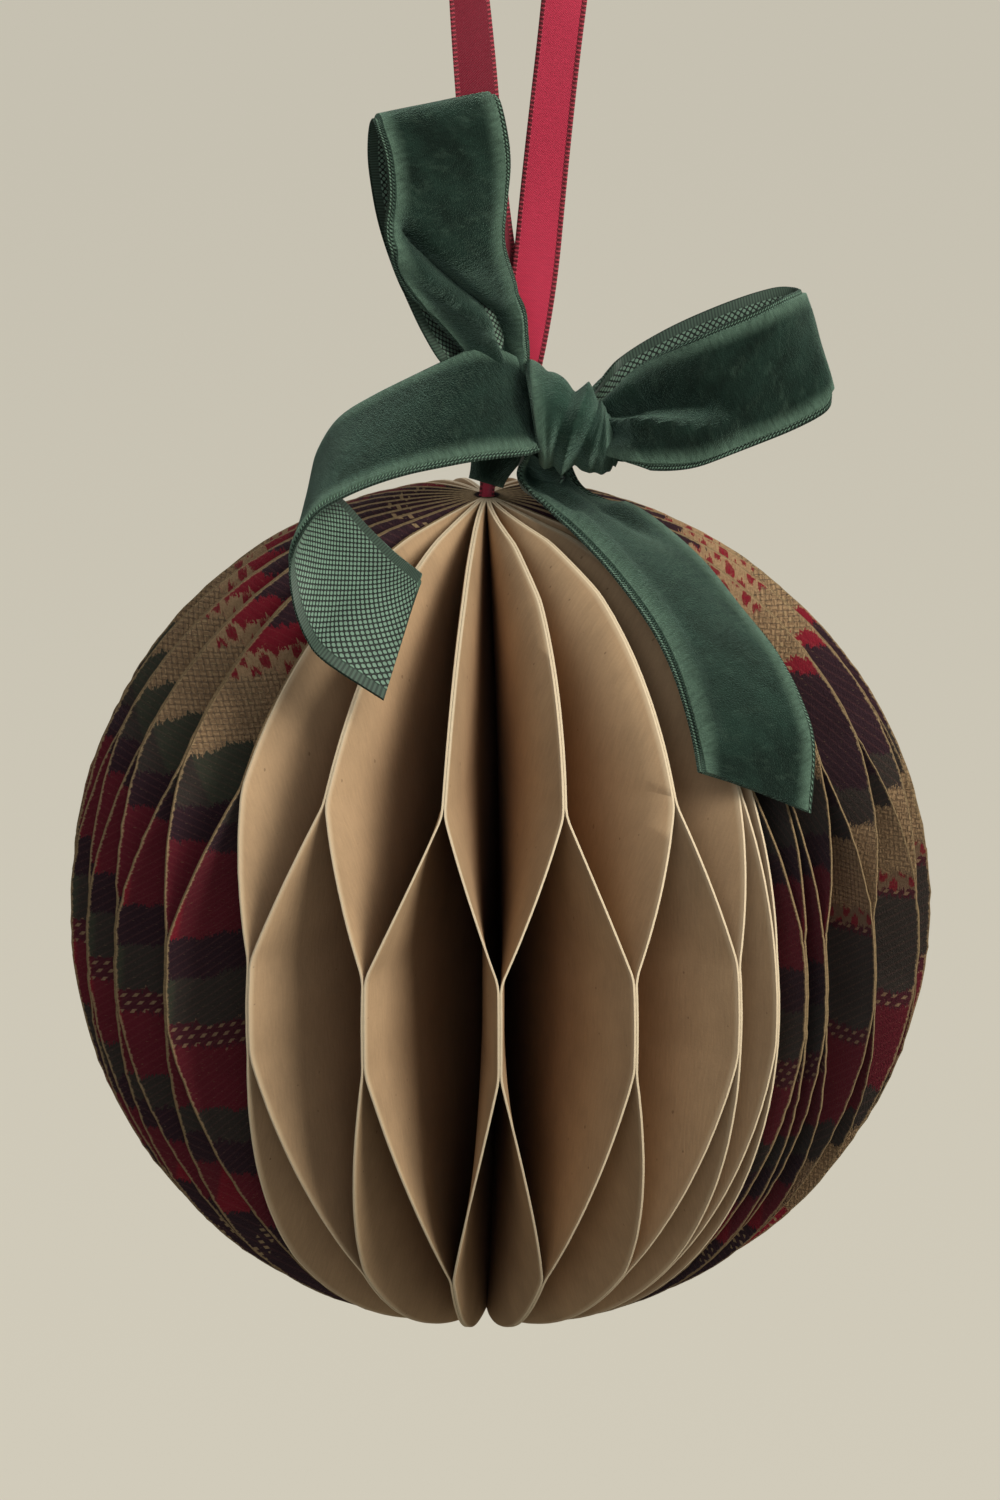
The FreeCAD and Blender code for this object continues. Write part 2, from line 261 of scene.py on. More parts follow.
class Finish:
    """A material and the nodes that make its surface."""

    def __init__(self, name):
        self.material = bpy.data.materials.new(name)
        self.material.use_nodes = True
        self.tree = self.material.node_tree
        self.tree.nodes.clear()
        self.output = self.tree.nodes.new("ShaderNodeOutputMaterial")
        self.surface = self.tree.nodes.new("ShaderNodeBsdfPrincipled")
        self.tree.links.new(self.surface.outputs[0], self.output.inputs["Surface"])

    def feed(self, node, key, value):
        """Sets a socket to a value, or links it to a wire."""
        socket = node.inputs[key]
        if isinstance(value, Wire):
            self.tree.links.new(value.socket, socket)
        elif hasattr(value, "__len__") and len(value) == 3 and len(socket.default_value) == 4:
            socket.default_value = (*value, 1.0)
        else:
            socket.default_value = value

    def node(self, kind, settings=None, sockets=None, out=0):
        """Adds a node: settings first, then its sockets. Returns the output as a wire."""
        added = self.tree.nodes.new(kind)
        for key, value in (settings or {}).items():
            if key == "stops":
                added.color_ramp.interpolation = "CONSTANT"
                self.set_stops(added.color_ramp, value)
            else:
                setattr(added, key, value)
        for key, value in (sockets or {}).items():
            self.feed(added, key, value)
        return Wire(self, added.outputs[out])

    def set_stops(self, ramp, stops):
        while len(ramp.elements) < len(stops):
            ramp.elements.new(1.0)
        for element, (place, colour) in zip(ramp.elements, stops):
            element.position = place
            element.color = (*colour, 1.0)

    def set(self, **values):
        """Sets sockets of the surface shader. Underscores stand for spaces."""
        for key, value in values.items():
            self.feed(self.surface, key.replace("_", " "), value)

    def paint(self, colour, roughness, specular, **others):
        """The surface's colour and how it takes light, then further sockets by name."""
        self.set(Base_Color=colour, Roughness=roughness, Specular_IOR_Level=specular, **others)

    def flat(self, layer):
        """The two coordinates of a UV layer, in millimetres."""
        place = self.node("ShaderNodeUVMap", {"uv_map": layer})
        return place.part(0), place.part(1)

    def point(self, x, y, z=0.0):
        return self.node("ShaderNodeCombineXYZ", {}, {0: x, 1: y, 2: z})

    def noise(self, across, along, scale, detail, roughness, deep=0.0):
        place = self.point(across, along, deep)
        sockets = {"Vector": place, "Scale": scale, "Detail": detail, "Roughness": roughness}
        return self.node("ShaderNodeTexNoise", {}, sockets)

    def mix(self, share, first, second, blend_type="MIX"):
        settings = {"data_type": "RGBA", "blend_type": blend_type}
        return self.node("ShaderNodeMix", settings, {0: share, 6: first, 7: second}, out=2)

    def shade(self, colour, amount):
        """A colour multiplied by a grey amount."""
        return self.mix(1.0, colour, self.point(amount, amount, amount), "MULTIPLY")

    def bump(self, height, distance):
        self.set(Normal=self.node("ShaderNodeBump", {}, {"Height": height, "Distance": distance}))


def tinted(colour, share=1.0):
    """A colour as three plain numbers, made darker or lighter."""
    return tuple(value * share for value in colour)


def kraft_card(colours):
    """Brown kraft card: cloudy, with upright fibres and a few dark specks, painted shade that darkens and
    reddens the face away from the rim, and paler within a millimetre of the rim.
    """
    finish = Finish("kraft_card")
    out, up = finish.flat("flat")
    from_rim, _ = finish.flat("rim")
    clouds = finish.noise(out, up, 0.09, 3.0, 0.55)
    fibres = finish.noise(out * 3.2, up * 0.35, 1.0, 3.0, 0.6)
    grain = finish.noise(out, up, 2.6, 2.0, 0.6)
    specks = finish.noise(out, up * 0.7, 1.35, 0.0, 0.5).ramp(0.83, 0.87)
    stains = finish.noise(out * 1.6, up * 0.5, 0.06, 4.0, 0.6, deep=3.0)
    tone = 0.40 + clouds * 0.46 + stains * 0.42 + fibres * 0.34 + grain * 0.12
    face = finish.shade(tinted(colours.kraft), tone)
    face = finish.mix(specks * 0.5, face, (0.12, 0.07, 0.04))
    # Painted shade: away from the rim the face is mixed towards a darker, redder copy of itself, where
    # shade falls deep inside the cells
    painted_shade_tint = (0.56, 0.45, 0.40)
    inner = tuple(value * share for value, share in zip(colours.kraft, painted_shade_tint))
    face = finish.mix(from_rim.ramp(1.0, 24.0) * 0.85, face, finish.shade(inner, tone))
    # The face turns towards the cut edge's pale colour within a millimetre of the rim
    paler_near_rim = from_rim.ramp(0.9, 0.05) * 0.45
    face = finish.mix(paler_near_rim, face, tinted(colours.cut_edge))
    finish.paint(face, 0.88, 0.18)
    finish.bump(fibres * 0.6 + grain * 0.4, 0.00006)
    return finish.material


def cut_edge(colours):
    """The pale cut rim of the plain card."""
    finish = Finish("cut_edge")
    _, along = finish.flat("rim")
    tone = 0.85 + finish.noise(along, 0.0, 1.3, 3.0, 0.6) * 0.25
    finish.paint(finish.shade(tinted(colours.cut_edge), tone), 0.8, 0.2)
    return finish.material


# The two prints' bands from the top down: colour name and lowest height above the ball's middle
print_reach = 62.0
left_bands = (
    ("dark", 46.5),
    ("red", 43.2),
    ("dots", 40.3),
    ("tan", 31.4),
    ("green", 24.0),
    ("dark", 19.5),
    ("red", 7.6),
    ("dark", 1.5),
    ("green", -5.2),
    ("hatch", -8.7),
    ("red", -17.3),
    ("green", -22.0),
    ("dark", -27.0),
    ("red", -35.0),
    ("dark", -print_reach),
)
right_bands = (
    ("dark", 52.0),
    ("dots", 46.4),
    ("tan", 40.5),
    ("red", 38.5),
    ("dark", 24.3),
    ("green", 19.4),
    ("tan", 9.6),
    ("dots", 7.1),
    ("hatch", 6.1),
    ("green", -6.9),
    ("hatch", -9.0),
    ("red", -20.9),
    ("green", -27.0),
    ("tan", -38.0),
    ("red", -45.0),
    ("dark", -print_reach),
)


def tartan_card(colours, name, bands):
    """Card with a felted tartan print: fuzzy bands, a stitched hatch and a row of dots."""
    finish = Finish(name)
    out, up = finish.flat("flat")
    from_rim, rim_along = finish.flat("rim")
    teeth = finish.noise(out * 1.9, up * 0.35, 1.0, 2.0, 0.7)
    drift = finish.noise(out * 0.22, up * 0.05, 1.0, 1.0, 0.5)
    tufts = finish.noise(out * 4.2, up * 1.6, 1.0, 3.0, 0.75)
    fray = (teeth - 0.5) * 2.4 + (drift - 0.5) * 3.0 + (tufts - 0.5) * 2.6
    height = up.maths("WRAP", up + fray, print_reach, -print_reach)
    share = (height + print_reach) / (2 * print_reach)

    ground = {band: tinted(getattr(colours, f"print_{band}")) for band in ("tan", "red", "green", "dark")}
    ground["dots"] = ground["tan"]
    ground["hatch"] = tuple(blend(dark, red, 0.4) for dark, red in zip(ground["dark"], ground["red"]))
    cream = tinted(colours.print_cream)
    marks = {"tan": (1.0, 0.0, 0.0), "dots": (0.0, 1.0, 0.0), "hatch": (0.0, 0.0, 1.0)}
    stops, mark_stops = [], []
    for band, low in reversed(bands):
        at = (low + print_reach) / (2 * print_reach)
        stops.append((at, ground[band]))
        mark_stops.append((at, marks.get(band, (0.0, 0.0, 0.0))))
    colour = finish.node("ShaderNodeValToRGB", {"stops": stops}, {0: share})
    masks = finish.node("ShaderNodeValToRGB", {"stops": mark_stops}, {0: share})
    is_tan, is_dots, is_hatch = (masks.part(index) for index in range(3))

    # Upright stripes, where darker threads cross the bands
    stripe = (out + drift * 4.0).bounced(17.0).ramp(10.0, 11.0)
    colour = finish.mix(stripe * (1.0 - is_tan) * 0.5, colour, ground["dark"])
    thread = (out + up * 0.9).wave(1.45).ramp(0.0, 0.5) * up.wave(1.0).ramp(-0.3, 0.3)
    column = (abs(out) + 4.0).bounced(14.0).ramp(12.6, 12.9)
    colour = finish.mix(column * thread * 0.75 * (1.0 - is_dots), colour, cream)

    # Dots where red threads cross the bare ground
    dots = (out.wave(2.9) * (height + out * 0.3).wave(3.6)).ramp(0.05, 0.30) * is_dots
    colour = finish.mix(dots, colour, ground["red"])

    # Slanting stitches of cream, close in the hatch and faint over the rest
    slant = (out + up * 0.8).wave(1.5).ramp(0.1, 0.6) * up.wave(1.15).ramp(-0.1, 0.4)
    colour = finish.mix(slant * is_hatch * (0.25 + tufts * 0.6), colour, cream)
    faint = (out + up * 1.6).wave(1.9).ramp(0.55, 0.95)
    colour = finish.mix(faint * (1.0 - is_tan) * tufts * 0.12, colour, (0.42, 0.16, 0.14))

    # The bare ground shows the cloth's basket weave
    weave = (out.wave(1.5) * up.wave(1.5)).ramp(-0.15, 0.15)
    lines = (out * weave + up * (1.0 - weave)).wave(0.62).ramp(-0.4, 0.6)
    colour = finish.mix(lines * (is_tan + is_dots * 0.6) * 0.42, colour, (0.17, 0.10, 0.055))

    fuzz = finish.noise(out, up, 3.2, 3.0, 0.75)
    wear = finish.noise(out, up, 0.16, 3.0, 0.6)
    colour = finish.shade(colour, 0.32 + fuzz * 0.62 + tufts * 0.36 + wear * 0.38)
    lint = finish.noise(out * 0.8, up * 2.4, 2.1, 1.0, 0.6).ramp(0.66, 0.76)
    colour = finish.mix(lint * 0.22, colour, cream)
    rim_wear = finish.noise(rim_along, from_rim * 0.8, 1.9, 3.0, 0.7)
    bare = (rim_wear * 1.4 - from_rim * 1.5 - 0.25).ramp(0.0, 0.4)
    colour = finish.mix(bare * 0.8, colour, cream)
    finish.paint(colour, 0.93, 0.12, Sheen_Weight=0.10, Sheen_Roughness=0.5)
    finish.bump(fuzz * 0.8 + tufts * 0.8 + lines * is_tan * 0.5, 0.00020)
    return finish.material


def felted_edge(colours):
    """The fuzzy cream rim of the printed card."""
    finish = Finish("felted_edge")
    _, along = finish.flat("rim")
    fuzz = finish.noise(along, 0.0, 2.2, 3.0, 0.75)
    tone = fuzz * 1.15 - 0.02
    finish.paint(finish.shade(tinted(colours.print_cream), tone), 0.95, 0.1)
    return finish.material


def velvet_pile(colours, width, name, sheen):
    """Dark green cut pile, brushed in patches, with a woven selvedge at both edges, painted sheen along
    both edges, painted glints, and painted light added all over by the last argument.
    """
    finish = Finish(name)
    across, along = finish.flat("flat")
    threads = colours.velvet_back
    brushed = finish.noise(across * 0.8, along * 0.8 + across * 0.5, 0.17, 3.0, 0.55)
    strokes = finish.noise(across * 0.5 + along * 0.5, along * 2.0 - across * 0.9, 0.8, 3.0, 0.6)
    pile = finish.noise(across, along, 4.5, 2.0, 0.8)
    glint = finish.noise(across * 1.3, along * 2.2, 1.9, 2.0, 0.7).ramp(0.62, 0.75)
    # The last argument is painted light: it lifts the brushed patches and the whole pile, and paints the
    # knot's pile paler
    brushed_and_painted_sheen = (brushed * 1.7 - 0.62 + (strokes - 0.5) * 0.6 + sheen).clipped()
    colour = finish.mix(brushed_and_painted_sheen, tinted(colours.velvet, 0.50), tinted(colours.velvet, 1.75))
    colour = finish.shade(colour, 0.42 + pile * 1.12 + sheen)
    # Painted sheen: both edges are mixed towards the back threads' lighter colour, as light grazing the
    # pile, more so along the strokes
    lit = abs(across).ramp(width / 2 - 3.4, width / 2 - 0.8)
    colour = finish.mix(lit * (0.05 + strokes * 1.1), colour, tinted(threads, 0.95))
    nap = finish.noise(across * 0.7 + along * 0.3, along * 1.4, 0.42, 4.0, 0.7).ramp(0.50, 0.72)
    colour = finish.mix(nap * (0.10 + pile * 0.28), colour, tinted(threads, 0.52))
    # Painted glints: small flecks of the threads' lighter colour on the brushed patches, standing for light
    # caught by the pile
    colour = finish.mix(glint * brushed_and_painted_sheen * 0.35, colour, tinted(threads, 0.8))
    edge = abs(across).ramp(width / 2 - 0.80, width / 2 - 0.62)
    thread = (along + across * 0.9).wave(0.52).ramp(-0.3, 0.5)
    dotted = thread * abs(abs(abs(across) - (width / 2 - 0.42)) - 0.21).ramp(0.15, 0.08)
    selvedge = finish.mix(dotted, tinted(threads, 0.12), tinted(threads, 1.15))
    colour = finish.mix(edge, colour, selvedge)
    tint = (0.46, 0.74, 0.58, 1.0)
    finish.paint(colour, 0.78, 0.12, Sheen_Weight=0.65, Sheen_Roughness=0.27, Sheen_Tint=tint)
    finish.bump(pile * 0.9 + strokes * 0.7 + edge * thread * 0.4, 0.00038)
    return finish.material


def velvet_back(colours, width):
    """The ribbon's back: a basket weave of light threads, plain at both edges."""
    finish = Finish("velvet_back")
    across, along = finish.flat("flat")
    threads = colours.velvet_back
    pitch = 0.95
    knots = (across + along).wave(pitch * 2) * (across - along).wave(pitch * 2)
    dots = abs(knots).ramp(0.24, 0.52)
    colour = finish.mix(dots, tinted(threads, 0.09), tinted(threads, 1.15))
    edge = abs(across).ramp(width / 2 - 1.45, width / 2 - 1.25)
    ribs = along.wave(0.45).ramp(-0.5, 0.5)
    colour = finish.mix(edge, colour, finish.mix(ribs, tinted(threads, 0.2), tinted(threads, 0.42)))
    cloth = finish.noise(across, along, 0.25, 2.0, 0.5)
    colour = finish.shade(colour, 0.75 + cloth * 0.5)
    finish.paint(colour, 0.55, 0.4, Sheen_Weight=0.2, Sheen_Roughness=0.4)
    finish.bump(dots * (1.0 - edge), 0.00016)
    return finish.material


def red_satin(colours, width, name, painted_light_share):
    """Shiny red satin with a fine slanting weave and a row of loops along both edges; the last argument
    scales its colour, to paint light on one copy and shade on the other.
    """
    finish = Finish(name)
    across, along = finish.flat("flat")
    weave = (along + across * 1.9).wave(0.42)
    streaks = finish.noise(across * 0.5, along * 2.2, 1.1, 3.0, 0.6)
    # Painted light and shade: the colour is scaled up for one copy and down for the other
    colour = finish.shade(tinted(colours.satin), (0.80 + weave * 0.13 + streaks * 0.24) * painted_light_share)
    edge = abs(across).ramp(width / 2 - 0.55, width / 2 - 0.42)
    loops = along.wave(0.62).ramp(-0.2, 0.5)
    colour = finish.mix(edge, colour, finish.shade((0.40, 0.035, 0.06), 0.35 + loops * 0.9))
    tint = (1.0, 0.5, 0.55, 1.0)
    finish.paint(colour, 0.36 + edge * 0.3, 0.6, Sheen_Weight=0.3, Sheen_Roughness=0.3, Sheen_Tint=tint)
    finish.bump(weave * 0.25 + loops * edge * 1.2 + streaks * 0.4, 0.00010)
    return finish.material


# Meshes


def blend(first, last, share):
    return first + (last - first) * share


def along(stops, place):
    """The value at a place between the stops, which run from high to low."""
    for (high, start), (low, end) in zip(stops, stops[1:]):
        if place >= low:
            return blend(start, end, (high - place) / (high - low))
    return stops[-1][1]


def softened(function, place):
    """A function of latitude with its corners rounded."""
    nudges = (-1.0, -0.5, 0.0, 0.5, 1.0)
    return sum(function(place + nudge * corner_softness) for nudge in nudges) / len(nudges)


def closed_mesh(name, rings, flat, rim, finish_of, finishes):
    """A closed mesh through rings of points, with two UV layers in millimetres."""
    count = len(rings[0])
    points = [point for ring in rings for point in ring]
    faces = []
    kinds = []
    for row in range(len(rings) - 1):
        for here in range(count):
            after = (here + 1) % count
            base = row * count
            faces.append((base + here, base + after, base + count + after, base + count + here))
            kinds.append(finish_of(here))
    last = (len(rings) - 1) * count
    faces.append(tuple(range(count))[::-1])
    faces.append(tuple(range(last, last + count)))
    kinds += [finish_of(0)] * 2
    mesh = bpy.data.meshes.new(name)
    mesh.from_pydata([point * millimetre for point in points], [], faces)
    for layer_name, values in (("flat", flat), ("rim", rim)):
        layer = mesh.uv_layers.new(name=layer_name)
        places = [value for row in values for value in row]
        for loop in mesh.loops:
            layer.data[loop.index].uv = places[loop.vertex_index]
    mesh.polygons.foreach_set("material_index", kinds)
    for finish in finishes:
        mesh.materials.append(finish)
    mesh.shade_smooth()
    mesh.set_sharp_from_angle(angle=math.radians(45))
    mesh.update()
    piece = bpy.data.objects.new(name, mesh)
    bpy.context.scene.collection.objects.link(piece)
    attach(piece, body)
    return piece


# The ball


def core_angle(sheet):
    return 360.0 / sheet_count * sheet + core_turn


def pulled(values, sheet, half_turn):
    """A rim longitude: listed one by one in front, evenly spread with a slight wander round the back."""
    place = (sheet - first_pulled) % sheet_count
    turn = 360.0 * ((sheet - first_pulled) // sheet_count)
    last = len(values) - 1
    if place <= last:
        return values[place] + turn
    share = (place - last) / (sheet_count - last)
    wander = back_wander * math.sin(2.3 * place + half_turn) * math.sin(math.pi * share)
    return blend(values[last], values[0] + 360.0, share) + turn + wander


def seam_longitude(sheet, latitude):
    """Where the seam on a sheet's left side lies at a latitude."""
    pole = core_angle(sheet) - 180.0 / sheet_count
    crown = pulled(seam_crown, sheet, 0.0)
    lower = pulled(seam_lower, sheet, 0.0)
    stops = (
        (pole_latitude, pole),
        (upper_gather, blend(pole, crown, 0.85)),
        (crown_latitude, crown),
        (upper_seam_latitude, pulled(seam_upper, sheet, 0.0)),
        (lower_seam_latitude, lower),
        (lower_gather, blend(lower, pole, 0.25)),
        (-pole_latitude, pole),
    )
    return along(stops, min(latitude, pole_latitude))


def between_seams(latitude, upper, join, lower):
    """A value that runs from the seam above to the join of a sheet's own leaves and to the seam below."""
    stops = (
        (upper_seam_latitude, upper),
        (fold_join_top, join),
        (fold_join_bottom, join),
        (lower_seam_latitude, lower),
    )
    return along(stops, latitude)


def rim_longitude(sheet, side, latitude):
    """The rim of one leaf: glued to the next sheet above and below, to its own twin between."""
    seam_sheet = sheet if side < 0 else sheet + 1
    join = pulled(fold_join, sheet, 1.0)
    if latitude > upper_seam_latitude or latitude < lower_seam_latitude:
        return seam_longitude(seam_sheet, latitude)
    upper = seam_longitude(seam_sheet, upper_seam_latitude)
    lower = seam_longitude(seam_sheet, lower_seam_latitude)
    return between_seams(latitude, upper, join, lower)


def seam_share(latitude):
    """1 where leaves of neighbouring sheets are glued, -1 where a sheet's own leaves are."""
    if latitude > upper_seam_latitude or latitude < lower_seam_latitude:
        return 1.0
    return between_seams(latitude, 1.0, -1.0, 1.0)


def sheet_rows():
    """Latitudes of a sheet's rows, from the top, closer at the corners of the rims."""
    count = round(2 * pole_latitude / latitude_step)
    rows = {pole_latitude - 2 * pole_latitude * row / count for row in range(count + 1)}
    for corner in (upper_seam_latitude, fold_join_top, fold_join_bottom, lower_seam_latitude):
        rows.update((corner - corner_softness, corner, corner + corner_softness))
    rows.update(pole_latitude + beyond for beyond in closing_rows)
    return sorted(rows, reverse=True)


def print_offset(sheet):
    """How far up the print lies on a sheet."""
    near = sheet if sheet < sheet_count // 2 + 1 else sheet - sheet_count
    if near in left_print:
        return left_rise * (left_print[-1] - near)
    return beside_plain.get(sheet, right_rise * (sheet - right_reference) - right_drop)


def sheet_rings(sheet, sizes, nick):
    """The rings, top to bottom, of a folded sheet, with its two UV layers."""
    stations = [(station / leaf_stations) ** 0.9 for station in range(leaf_stations + 1)]
    card = sizes.card
    shift = print_offset(sheet)
    rings, flats, rims = [], [], []
    for latitude in sheet_rows():
        turn = math.radians(latitude)
        height = sizes.half_height * math.sin(turn)
        rough = noise.fractal(Vector((latitude * 0.9, sheet * 5.1, 0.3)), 0.8, 2.0, 4)
        rim_radius = sizes.radius * math.cos(turn) + nick * rough
        lean = core_lean * math.sin(turn) ** 2
        core = core_radius * (1.0 - core_pinch * min(max(latitude / pole_latitude, 0.0), 1.0) ** 8)
        half_pair = math.degrees((card + glue_film) / 2 / rim_radius)
        share_of_seam = softened(seam_share, latitude)
        rim_angle = {}
        for side in (-1, 1):
            seam = softened(lambda place: rim_longitude(sheet, side, place), latitude)
            rim_angle[side] = seam - side * half_pair * share_of_seam

        def card_point(side, outward, share, proud=0.0):
            base = core_angle(sheet) + side * 90.0 / sheet_count
            angle = blend(base, rim_angle[side], share**bow_power)
            radius = blend(core, rim_radius, share) + proud
            sway = noise.noise(Vector((sheet * 4.3 + side, share * 2.2, latitude * 0.035)))
            angle += leaf_sway * sway * share * share * (1.0 - share)
            angle += outward * side * math.degrees(card / 2 / radius)
            turned = math.radians(angle)
            point = Vector((lean + radius * math.sin(turned), -radius * math.cos(turned), height))
            return point, (side * (radius - core), height - shift), (rim_radius - radius, latitude)

        ring = []
        for side in (-1, 1):
            outer = [card_point(side, 1, share) for share in stations]
            inner = [card_point(side, -1, share) for share in reversed(stations[1:])]
            edge = [card_point(side, 0, 1.0, card * rim_bulge)]
            leaf = outer + edge + inner
            ring += leaf if side < 0 else leaf[::-1]
            if side < 0:
                fold = core + card
                turned = math.radians(core_angle(sheet))
                crease = Vector((lean + fold * math.sin(turned), -fold * math.cos(turned), height))
                ring.append((crease, (0.0, height - shift), (rim_radius - fold, latitude)))
        rings.append([hung(point, -sizes.half_height) for point, flat, rim in ring])
        flats.append([flat for point, flat, rim in ring])
        rims.append([(rim[0], sizes.radius * math.radians(rim[1])) for point, flat, rim in ring])
    return rings, flats, rims


def hung(point, drop=0.0):
    """A point measured from the ball's top, or from drop above it, in the hanging point's frame."""
    return Vector((point.x - hanging_offset, point.y, point.z + drop - hanging_height))


def build_sheet(sheet, number, plain, sizes, finishes):
    node = f"{'kraft' if plain else 'plaid'}_sheet_{number:02d}"
    rings, flats, rims = sheet_rings(sheet, sizes, kraft_nick if plain else print_nick)
    leaf = leaf_stations + 1
    edge_places = {leaf - 1, leaf, len(rings[0]) - leaf - 2, len(rings[0]) - leaf - 1}
    piece = closed_mesh(
        f"folded_{node}", rings, flats, rims, lambda here: 1 if here in edge_places else 0, finishes
    )
    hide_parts(node)
    return piece


# The ribbons


def seen(across, up, toward):
    """A point given across, up and toward the viewer, from the ball's top and tilted."""
    tilt = math.radians(view_tilt)
    return Vector(
        (
            across,
            up * math.sin(tilt) - toward * math.cos(tilt),
            up * math.cos(tilt) + toward * math.sin(tilt),
        )
    )


def curve_point(points, index, share):
    """A point on the curve through the points, between one of them and the next."""
    before = points[max(index - 1, 0)]
    here = points[index]
    after = points[index + 1]
    beyond = points[min(index + 2, len(points) - 1)]
    leave = (after - before) * 0.5
    arrive = (beyond - here) * 0.5
    square = share**2
    cube = share**3
    return (
        here * (2 * cube - 3 * square + 1)
        + leave * (cube - 2 * square + share)
        + after * (3 * square - 2 * cube)
        + arrive * (cube - square)
    )


def smooth_list(points, steps):
    """The points with more on the smooth curve between them."""
    finer = []
    for index in range(len(points) - 1):
        for step in range(steps):
            finer.append(curve_point(points, index, step / steps))
    finer.append(points[-1])
    return finer


def grid_normals(grid):
    """The surface direction at each point of a grid of rungs."""
    normals = []
    for row, rung in enumerate(grid):
        line = []
        for column in range(len(rung)):
            run = grid[min(row + 1, len(grid) - 1)][column] - grid[max(row - 1, 0)][column]
            across = rung[min(column + 1, len(rung) - 1)] - rung[max(column - 1, 0)]
            line.append(across.cross(run).normalized())
        normals.append(line)
    return normals


def ribbon_shares(columns, width):
    """Where a ribbon's columns lie across it, from 0 to 1, closer at both edges."""
    near = [0.0, 0.3 / width, 0.6 / width, (selvedge_width + 0.1) / width, 1.3 / width]
    inner = columns - 2 * len(near)
    step = (1.0 - 2 * near[-1]) / (inner + 1)
    middle = [near[-1] + step * (place + 1) for place in range(inner)]
    return near + middle + [1.0 - share for share in reversed(near)]


def ribbon_piece(name, grid, thickness, width, finishes, selvedge=1.0):
    """A ribbon with rounded edges round a grid of rungs. The first finish is its face's.

    selvedge is the edges' share of the full thickness."""
    normals = grid_normals(grid)
    columns = len(grid[0])
    shares = ribbon_shares(columns, width)
    places = [width * (share - 0.5) for share in shares]
    rings, flats, rims = [], [], []
    run_length = 0.0
    middle = columns // 2
    for row, (rung, lift) in enumerate(zip(grid, normals)):
        if row:
            run_length += (rung[middle] - grid[row - 1][middle]).length
        half = thickness / 2
        thin = half * (1.0 - selvedge)
        front = []
        for point, normal, place in zip(rung, lift, places):
            raised = abs(place) < width / 2 - selvedge_width
            front.append(point + normal * (half if raised else half - 2 * thin))
        back = [point - normal * half for point, normal in zip(rung, lift)][::-1]
        edge = thickness * selvedge / 2
        out_last = (rung[-1] - rung[-2]).normalized() * edge - lift[-1] * thin
        out_first = (rung[0] - rung[1]).normalized() * edge - lift[0] * thin
        ring = front + [rung[-1] + out_last] + back + [rung[0] + out_first]
        rings.append([hung(point) for point in ring])
        across = places + [width / 2] + places[::-1] + [-width / 2]
        flats.append([(place, run_length) for place in across])
        rims.append([(width / 2 - abs(place), run_length) for place in across])

    def finish_of(here):
        return 1 if columns < here < 2 * columns else 0

    return closed_mesh(name, rings, flats, rims, finish_of, finishes), run_length


# The velvet bow's stretches, as rungs across the ribbon: across, up and toward the viewer
left_tail = (
    ((4.1, 17.3, 9.5), (5.6, 5.4, 16.5)),
    ((0.7, 19.3, 11.1), (3.3, 5.0, 18.9)),
    ((-3.0, 19.8, 13.4), (-1.5, 4.4, 21.6)),
    ((-6.8, 18.4, 14.1), (-6.5, 3.5, 24.3)),
    ((-11.6, 16.1, 14.7), (-11.9, 2.4, 26.3)),
    ((-16.9, 13.3, 15.4), (-17.3, 0.7, 28.2)),
    ((-21.4, 10.4, 16.1), (-21.6, -1.1, 29.9)),
    ((-24.0, 6.9, 16.1), (-24.8, -3.0, 31.1)),
    ((-25.1, 3.2, 16.7), (-27.1, -5.9, 32.1)),
    ((-23.8, 0.7, 18.4), (-28.3, -9.1, 32.8)),
    ((-21.2, -1.7, 21.3), (-28.4, -12.4, 33.9)),
    ((-18.6, -4.6, 24.5), (-27.7, -16.3, 34.7)),
    ((-15.4, -7.8, 28.4), (-26.0, -20.3, 35.8)),
    ((-12.8, -10.0, 31.4), (-23.4, -23.4, 37.2)),
    ((-10.5, -11.7, 33.7), (-15.6, -28.5, 37.5)),
)
right_tail = (
    ((3.7, 4.7, 10.0), (9.1, 5.7, 5.6)),
    ((2.7, 2.1, 7.6), (10.7, 1.8, 1.6)),
    ((6.3, -1.7, 11.4), (14.3, -0.3, 0.6)),
    ((10.9, -6.2, 16.6), (20.0, -2.6, 2.6)),
    ((16.0, -12.0, 22.0), (27.4, -8.7, 8.4)),
    ((20.3, -18.1, 26.3), (33.3, -15.9, 14.1)),
    ((23.1, -24.0, 29.5), (37.7, -21.7, 19.3)),
    ((25.1, -30.1, 32.4), (41.0, -28.5, 24.0)),
    ((26.4, -35.3, 34.3), (42.7, -34.6, 26.5)),
    ((26.9, -38.1, 35.2), (42.2, -43.8, 27.6)),
)
